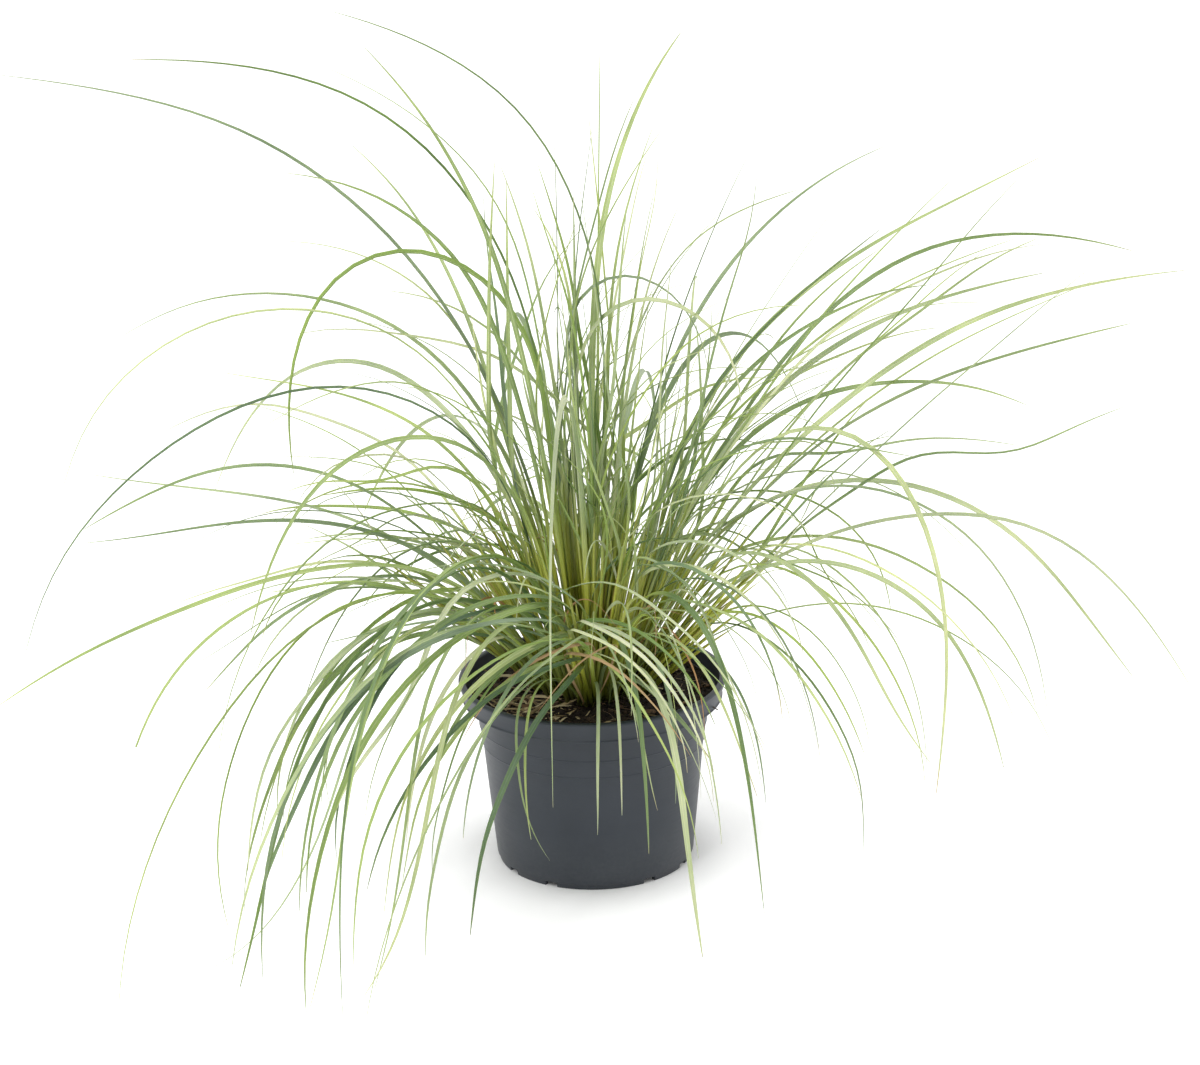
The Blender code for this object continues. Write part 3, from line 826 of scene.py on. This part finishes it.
# Painted light and shade, partly each leaf's own tone: every leaf is made darker and bluer or lighter as
# a whole, by a number drawn from its tone.
tone_and_painted_light = ramped(
    tree, maths(tree, "FRACT", maths(tree, "MULTIPLY", tone, 17.0)),
    (0.0, (0.28, 0.38, 0.40)), (0.35, (0.95, 0.98, 0.96)), (1.0, (1.58, 1.42, 1.60)),
)
green = mixed(tree, 1.0, green, tone_and_painted_light, "MULTIPLY")
# Painted shade on the leaf's own olive foot: it darkens to near black at the soil, deep in the clump.
olive = ramped(
    tree, maths(tree, "MULTIPLY", run, 5.0),
    (0.0, (0.050, 0.052, 0.002)), (0.15, (0.190, 0.205, 0.014)),
    (0.45, (0.700, 0.720, 0.110)), (0.85, (0.760, 0.820, 0.280)),
)
olive = mixed(tree, maths(tree, "MULTIPLY", vein["Vein"], 0.7), olive, (0.150, 0.185, 0.015, 1))
sheathed = maths(tree, "SUBTRACT", maths(tree, "ADD", mark_of(tree, "sheath"), 0.04), run)
sheathed = maths(tree, "MULTIPLY", sheathed, 12.0, clamp=True)
colour = mixed(tree, sheathed, green, olive)
dry_share = maths(tree, "SUBTRACT", mark_of(tree, "dry"), mark_of(tree, "to_tip"))
dry_share = maths(tree, "MULTIPLY", dry_share, 45.0, clamp=True)
straw = mixed(tree, vein["Vein"], (0.560, 0.430, 0.210, 1), (0.360, 0.210, 0.080, 1))
colour = mixed(tree, dry_share, colour, straw)
tree.links.new(colour, surface.inputs["Base Color"])
let_light_through(surface, 0.3)

long_blade = straight_blade(4, BLADE_CELLS, fold=0.60, thickness=0.10)
# One leaf of the left side was cut off and has a blunt end
CUT_LEAF = ("left", 16)
CUT_LENGTH = 0.12


def olive_foot(leans):
    """The length of a leaf's olive foot, which is short on a leaf that slants from the start."""
    return 0.12 if leans[0] < 20 else 0.04


draw = np.random.default_rng(7)
for side, rows in LONG_LEAVES.items():
    for number, (heading, foot, length, leans, width) in enumerate(rows, 1):
        row = leaf_row(
            heading, foot, length, leans, width * 1.02,
            sway=LEAF_SWAY[side] * LEAF_SWAY_TURNS[number % len(LEAF_SWAY_TURNS)],
            twist=draw.normal(0, 75), roll=draw.normal(0, 22), tone=draw.random(),
            dry=max(0.0, draw.normal(0.0, 0.012)),
            cut=CUT_LENGTH if (side, number) == CUT_LEAF else 0.0, sheath=olive_foot(leans),
        )
        blade = grass_piece(f"blade_{side}_{number:02d}", long_blade, [row], blade_finish)
        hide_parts(f"leaf_{side}_{number:02d}")


# ---------------- shoots
# The shoots the leaves grow from: flat fans of nested leaf sheaths, yellow-olive with brown edges
# and darkened to near black at the soil as painted shade, upright in the middle of the crown and
# leaning outwards round its edge.

SHEATH_CELLS = 14
SHOOT_REACH = 0.150
FAN_WIDTH = 0.0055
FURTHER_SHOOTS = 18
CROWN_RADIUS = 0.036
EDGE_LEAN = 36
NEXT_SHOOT_TURN = 137.5
# Heading in degrees from +X, distance of the foot from the pot's axis, lean at the foot and at the top
SHOOTS = (
    (285, 0.007, 5, 7), (120, 0.017, 9, 12), (320, 0.012, 13, 17), (90, 0.019, 16, 20),
    (290, 0.020, 18, 24), (40, 0.029, 24, 31), (265, 0.034, 36, 46), (0, 0.038, 38, 48),
    (330, 0.038, 40, 50), (80, 0.038, 38, 48), (140, 0.038, 40, 50), (180, 0.038, 42, 52),
)
sheath_finish, tree, surface = new_finish("leaf_sheath", 0.5, 0.4)
vein = veined(tree, surface, 0.7)
run = mark_of(tree, "run")
# Painted shade on the sheath's own yellow-olive: it darkens to near black at the soil, deep in the clump.
body = ramped(
    tree, maths(tree, "MULTIPLY", run, 6.0),
    (0.0, (0.035, 0.034, 0.002)), (0.10, (0.130, 0.135, 0.006)),
    (0.35, (0.520, 0.530, 0.055)), (0.8, (0.760, 0.800, 0.210)),
)
vein_share = maths(tree, "MULTIPLY", vein["Vein"], 1.1, clamp=True)
stripe = mixed(tree, vein_share, body, (0.110, 0.150, 0.008, 1))
pale = mixed(tree, maths(tree, "MULTIPLY", vein["Midrib"], 0.4), stripe, (0.55, 0.52, 0.26, 1))
chart = add_node(tree, "ShaderNodeUVMap", uv_map="UVMap").outputs["UV"]
across = add_node(tree, "ShaderNodeSeparateXYZ", {"Vector": chart}).outputs["X"]
edge = maths(tree, "ABSOLUTE", maths(tree, "SUBTRACT", across, 0.5))
edge = maths(tree, "MULTIPLY", maths(tree, "SUBTRACT", edge, 0.36), 7.0, clamp=True)
brown = maths(tree, "MULTIPLY", edge, mark_of(tree, "tone"))
colour = mixed(tree, brown, pale, (0.330, 0.170, 0.060, 1))
tree.links.new(colour, surface.inputs["Base Color"])
let_light_through(surface, 0.1)

sheath_form = straight_blade(4, SHEATH_CELLS, fold=0.9, thickness=0.10)


def fan_of_sheaths(heading, foot, lean_foot, lean_top, length):
    """The rows of one shoot: sheaths on alternate sides of a fan, the outer ones shorter."""
    rows = []
    fan = draw.uniform(0, 180)
    count = int(draw.integers(4, 7))
    for place in range(count):
        apart = (place - (count - 1) / 2) / count
        outer = abs(apart) * 2
        reach = length * (1.05 - 0.5 * outer) * draw.uniform(0.85, 1.1)
        slant = apart * 10 * math.cos(math.radians(fan))
        aside = math.degrees(0.0085 * apart / max(foot, 0.006)) * math.sin(math.radians(fan + 40))
        leans = tuple(
            lean_foot + slant + (lean_top - lean_foot + slant * 0.5) * step / 3 for step in range(4)
        )
        own_foot = max(foot + FAN_WIDTH * apart * math.cos(math.radians(fan)), 0.0)
        rows.append(leaf_row(
            heading + apart * 9, own_foot, reach, leans, draw.uniform(0.0030, 0.0048),
            twist=draw.uniform(-14, 14), roll=(0 if apart < 0 else 180) + draw.uniform(-35, 35),
            tone=draw.random(), aside=aside, base=1.0,
        ))
    return rows


draw = np.random.default_rng(23)
# Every shoot of the crown, for the leaves that grow from them
crown = [(*shoot, SHOOT_REACH) for shoot in SHOOTS]
for number, shoot in enumerate(crown, 1):
    fan = grass_piece(
        f"sheathed_shoot_{number:02d}", sheath_form, fan_of_sheaths(*shoot), sheath_finish
    )
    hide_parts(f"shoot_{number:02d}")

rows = []
for place in range(FURTHER_SHOOTS):
    foot = CROWN_RADIUS * math.sqrt((place + 0.5) / FURTHER_SHOOTS)
    lean = EDGE_LEAN * (foot / CROWN_RADIUS) ** 1.3 * draw.uniform(0.7, 1.1)
    shoot = (NEXT_SHOOT_TURN * place, foot, lean, lean * 1.15, draw.uniform(0.11, 0.17))
    rows += fan_of_sheaths(*shoot)
    crown.append(shoot)
grass_piece("further_shoots", sheath_form, rows, sheath_finish)


# ---------------- further leaves
# The rest of the head of leaves: several hundred narrower blades of every age, thickest low on
# the left, sparse at the top and hair-fine inside the clump.

short_blade = straight_blade(4, 28, fold=0.60, thickness=0.10)
fine_blade = straight_blade(2, 22, fold=0.35, thickness=0.12)
# How far a leaf may pass the reach of the long ones, and how far it keeps off the floor
SPARE = 0.008
FLOOR_SPARE = 0.012
# Where no leaf may pass: just over the mix, through the rim or into the pot's wall
OVER_MIX = (0.092, 0.128)
RIM_BAND = (0.083, 0.100, 0.139)
WALL_REACH = 0.098
TRACK_CELLS = 26
FOOT_CELLS = 3
LEAN_STEPS = 8
MIDDLE_SHOOTS = 0.018
KINKED_SHARE = 0.12


def clears(row):
    """Whether a leaf keeps inside the object's reach, above the floor and off the pot and the mix."""
    track = leaf_track(row, TRACK_CELLS)[0]
    lowest = np.array(cad_low) + (-SPARE, -SPARE, FLOOR_SPARE)
    if (track < lowest).any() or (track > np.array(cad_high) + SPARE).any():
        return False
    reach = np.hypot(track[:, 0], track[:, 1])
    height = track[:, 2]
    over_mix = (reach < OVER_MIX[0]) & (height < OVER_MIX[1])
    at_rim = (reach > RIM_BAND[0]) & (reach < RIM_BAND[1]) & (height < RIM_BAND[2])
    at_wall = (reach < WALL_REACH) & (height < POT_HEIGHT)
    return not (over_mix[FOOT_CELLS:].any() or at_rim.any() or at_wall[FOOT_CELLS:].any())


def spray(
    count, headings, lengths, tip_leans, widths, bend=1.5, sway=12, twist=60, tones=(0, 1), dry=0.006,
    stems=(0.5, 0.95), astray=70, feet=(0.0, 0.040),
):
    """Rows for a spray of leaves of one habit. Each leaf comes out of a shoot that stands on its side
    of the crown, then bends towards its own heading; a few are kinked. Pairs are a least and a most:
    stems is the share of the shoot's length that a leaf stays in it, and feet how far from the middle
    the shoot stands. Astray is how far from its shoot's heading a leaf may turn."""
    rows = []
    while len(rows) < count:
        shoot_heading, shoot_foot, lean_foot, lean_top, shoot_length = crown[draw.integers(len(crown))]
        heading = draw.uniform(*headings)
        turn = (heading - shoot_heading + 180) % 360 - 180
        widest_turn = astray * (1.9 if shoot_foot < MIDDLE_SHOOTS else 1)
        if not feet[0] <= shoot_foot <= feet[1] or abs(turn) > widest_turn:
            continue
        length = draw.uniform(*lengths)
        leave = min(shoot_length * draw.uniform(*stems) / length, 0.6)
        start = lean_foot + draw.normal(0, 3.5)
        end = draw.uniform(*tip_leans)
        power = bend * draw.uniform(0.75, 1.3)
        leans = []
        for step in range(LEAN_STEPS):
            out = max(step / (LEAN_STEPS - 1) - leave, 0) / (1 - leave)
            leans.append(start + (end - start) * out**power + draw.normal(0, 1.5 + 2.5 * out))
        if draw.random() < KINKED_SHARE:
            leans[draw.integers(4, 7)] += draw.uniform(15, 40)
        foot = max(shoot_foot + draw.normal(0, 0.002), 0.001)
        row = leaf_row(
            shoot_heading, foot, length, tuple(leans), draw.uniform(*widths),
            sway=draw.normal(0, sway), twist=draw.normal(0, twist), tone=draw.uniform(*tones),
            dry=abs(draw.normal(0, dry)), aside=draw.normal(0, 5), roll=draw.normal(0, 25),
            leave=leave, turn=turn, sheath=leave * length,
        )
        if clears(row):
            rows.append(row)
    return rows


draw = np.random.default_rng(101)
# Count, then headings, lengths, leans at the tip and widths, each from and to
grass_piece("leaves_upright", short_blade, spray(
    36, (0, 360), (0.24, 0.42), (0, 32), (0.0018, 0.0034), bend=2.2, feet=(0, 0.020), astray=180,
), blade_finish)
grass_piece("leaves_left", short_blade, spray(
    8, (150, 205), (0.22, 0.46), (80, 125), (0.0018, 0.0034), bend=1.1,
), blade_finish)
grass_piece("leaves_left_low", short_blade, spray(
    20, (165, 218), (0.20, 0.32), (90, 140), (0.0018, 0.0038), bend=0.8,
    feet=(0.024, 0.04), stems=(0.2, 0.6),
), blade_finish)
grass_piece("leaves_left_front", short_blade, spray(
    22, (206, 238), (0.24, 0.40), (160, 184), (0.0026, 0.0050), bend=0.66, tones=(0.0, 0.9),
    stems=(0.2, 0.5), feet=(0.022, 0.04), astray=50,
) + spray(
    10, (218, 240), (0.42, 0.54), (165, 184), (0.0028, 0.0048), bend=0.75,
    stems=(0.3, 0.6), feet=(0.016, 0.04), astray=50,
), blade_finish)
grass_piece("leaves_front", short_blade, spray(
    8, (262, 318), (0.22, 0.36), (158, 184), (0.0014, 0.0032), bend=0.7, dry=0.014,
    stems=(0.3, 0.8), feet=(0.018, 0.04), astray=40,
), blade_finish)
grass_piece("leaves_right", short_blade, spray(
    24, (-25, 40), (0.22, 0.40), (50, 105), (0.0018, 0.0033), bend=1.3, tones=(0, 0.8),
), blade_finish)
grass_piece("leaves_right_far", long_blade, spray(
    12, (-28, 34), (0.36, 0.50), (55, 112), (0.0024, 0.0038), bend=1.1,
    feet=(0.018, 0.04), stems=(0.4, 0.9),
), blade_finish)
grass_piece("leaves_right_front", short_blade, spray(
    26, (302, 342), (0.24, 0.40), (140, 180), (0.0018, 0.0036), bend=0.75, dry=0.010,
    feet=(0.016, 0.04), stems=(0.3, 0.7),
), blade_finish)
grass_piece("leaves_back", short_blade, spray(
    18, (55, 125), (0.22, 0.44), (40, 140), (0.0018, 0.0033), bend=1.4,
) + spray(
    12, (62, 128), (0.24, 0.38), (140, 174), (0.0020, 0.0040), bend=0.7,
    feet=(0.02, 0.04), stems=(0.2, 0.5),
), blade_finish)
grass_piece("leaves_inner", fine_blade, spray(
    96, (0, 360), (0.14, 0.32), (50, 165), (0.0010, 0.0028), bend=1.6, sway=40, twist=120,
    stems=(0.3, 0.8),
), blade_finish)


# ---------------- leaves standing clear
# Living blades that stand apart from the rest and show one by one against the sky; two of them
# loop over in the middle of the clump. They are given like the long leaves.

CLEAR_LEAVES = (
    (150, 0.016, 0.420, (15, 16, 17, 20, 35, 55), 0.0030),
    (165, 0.022, 0.420, (2, 10, 18, 28, 65, 92), 0.0030),
    (215, 0.026, 0.400, (2, 12, 26, 42, 88, 112), 0.0035),
    (242, 0.030, 0.420, (24, 50, 105, 150, 150, 115), 0.0035),
    (25, 0.026, 0.485, (34, 43, 54, 64, 74, 76), 0.0036),
    (15, 0.016, 0.435, (20, 27, 33, 38, 46, 50), 0.0040),
    (20, 0.010, 0.395, (6, 10, 14, 18, 24, 29), 0.0036),
    (20, 0.004, 0.415, (-8, -5, -2, 4, 27, 38), 0.0040),
    (340, 0.032, 0.365, (43, 57, 74, 101, 129, 158), 0.0034),
    (330, 0.026, 0.350, (7, 15, 29, 54, 89, 93), 0.0034),
    (205, 0.034, 0.308, (31, 43, 63, 84, 114, 112), 0.0036),
    (210, 0.026, 0.440, (3, 12, 36, 89, 139, 164), 0.0036),
    (150, 0.008, 0.350, (0, 0, 0, 1, 7, 39), 0.0034),
    (200, 0.004, 0.347, (19, 12, 5, 1, -16, -22), 0.0034),
    (10, 0.010, 0.430, (-5, -5, -4, 4, 120, 176), 0.0044),
    (345, 0.016, 0.420, (-14, -8, -2, 20, 110, 176), 0.0046),
    (18, 0.022, 0.460, (18, 24, 38, 60, 78, 86), 0.0046),
    (195, 0.018, 0.330, (10, 24, 60, 120, 150, 160), 0.0044),
)
grass_piece("leaves_standing_clear", long_blade, [
    leaf_row(
        heading, foot, length, leans, width,
        sway=draw.normal(0, 8), twist=draw.normal(0, 40), tone=draw.random(), roll=draw.normal(0, 20),
        sheath=olive_foot(leans),
    )
    for heading, foot, length, leans, width in CLEAR_LEAVES
], blade_finish)


# ---------------- leaves hanging in front
# Young living leaves that grow from the front of the crown and hang over the pot's rim, each its
# own way: one is short and pale, another curls.

grass_piece("leaves_hanging_in_front", long_blade, [
    leaf_row(heading, foot, length, leans, width, **habit)
    for heading, foot, length, leans, width, habit in (
        (300, 0.030, 0.145, (20, 72, 98, 110, 124), 0.0048, dict(tone=0.9, dry=0.018, sway=15, sheath=0)),
        (271, 0.034, 0.190, (20, 66, 104, 140, 160, 150, 138), 0.0018,
         dict(tone=0.6, sway=130, aside=-15, sheath=0)),
        (278, 0.034, 0.175, (8, 46, 98, 152, 170, 176), 0.0028,
         dict(tone=0.75, sway=-8, roll=30, sheath=0)),
        (266, 0.032, 0.165, (20, 64, 112, 160, 176, 174), 0.0024,
         dict(tone=0.85, sway=-34, dry=0.006, sheath=0)),
        (286, 0.020, 0.260, (10, 32, 78, 128, 162, 172, 177), 0.0036,
         dict(tone=0.3, sway=12, dry=0.008, sheath=0.03)),
        (290, 0.034, 0.150, (20, 60, 100, 140, 156, 150), 0.0016,
         dict(tone=0.5, sway=20, dry=0.016, sheath=0)),
        (293, 0.030, 0.205, (10, 38, 88, 142, 174, 186), 0.0026, dict(tone=0.95, sway=-20, sheath=0.02)),
        (305, 0.026, 0.240, (15, 40, 80, 122, 146, 150), 0.0028,
         dict(tone=0.4, sway=10, dry=0.020, sheath=0.03)),
        (312, 0.030, 0.220, (25, 48, 84, 130, 160, 172), 0.0024, dict(tone=0.65, sway=-16, sheath=0.02)),
        (258, 0.036, 0.180, (24, 60, 104, 146, 150, 142), 0.0022,
         dict(tone=0.15, sway=60, roll=-20, sheath=0)),
    )
], blade_finish)


# ---------------- dead leaves
# Last year's leaves, dried tan to orange-brown, narrow and curled. They still hold to the shoots
# they grew from, low among the living ones.

dead_finish, tree, surface = new_finish("dead_leaf", 0.7, 0.3)
vein = veined(tree, surface, 0.6)
tan = mixed(tree, mark_of(tree, "tone"), (0.620, 0.300, 0.110, 1), (0.560, 0.440, 0.240, 1))
brown = mixed(tree, maths(tree, "MULTIPLY", vein["Vein"], 0.8), tan, (0.260, 0.140, 0.060, 1))
tree.links.new(brown, surface.inputs["Base Color"])
grass_piece("dead_leaves", fine_blade, spray(
    16, (150, 330), (0.12, 0.24), (80, 170), (0.0012, 0.0022), bend=0.9, sway=60, twist=200,
    feet=(0.015, 0.04), stems=(0.2, 0.5),
), dead_finish)
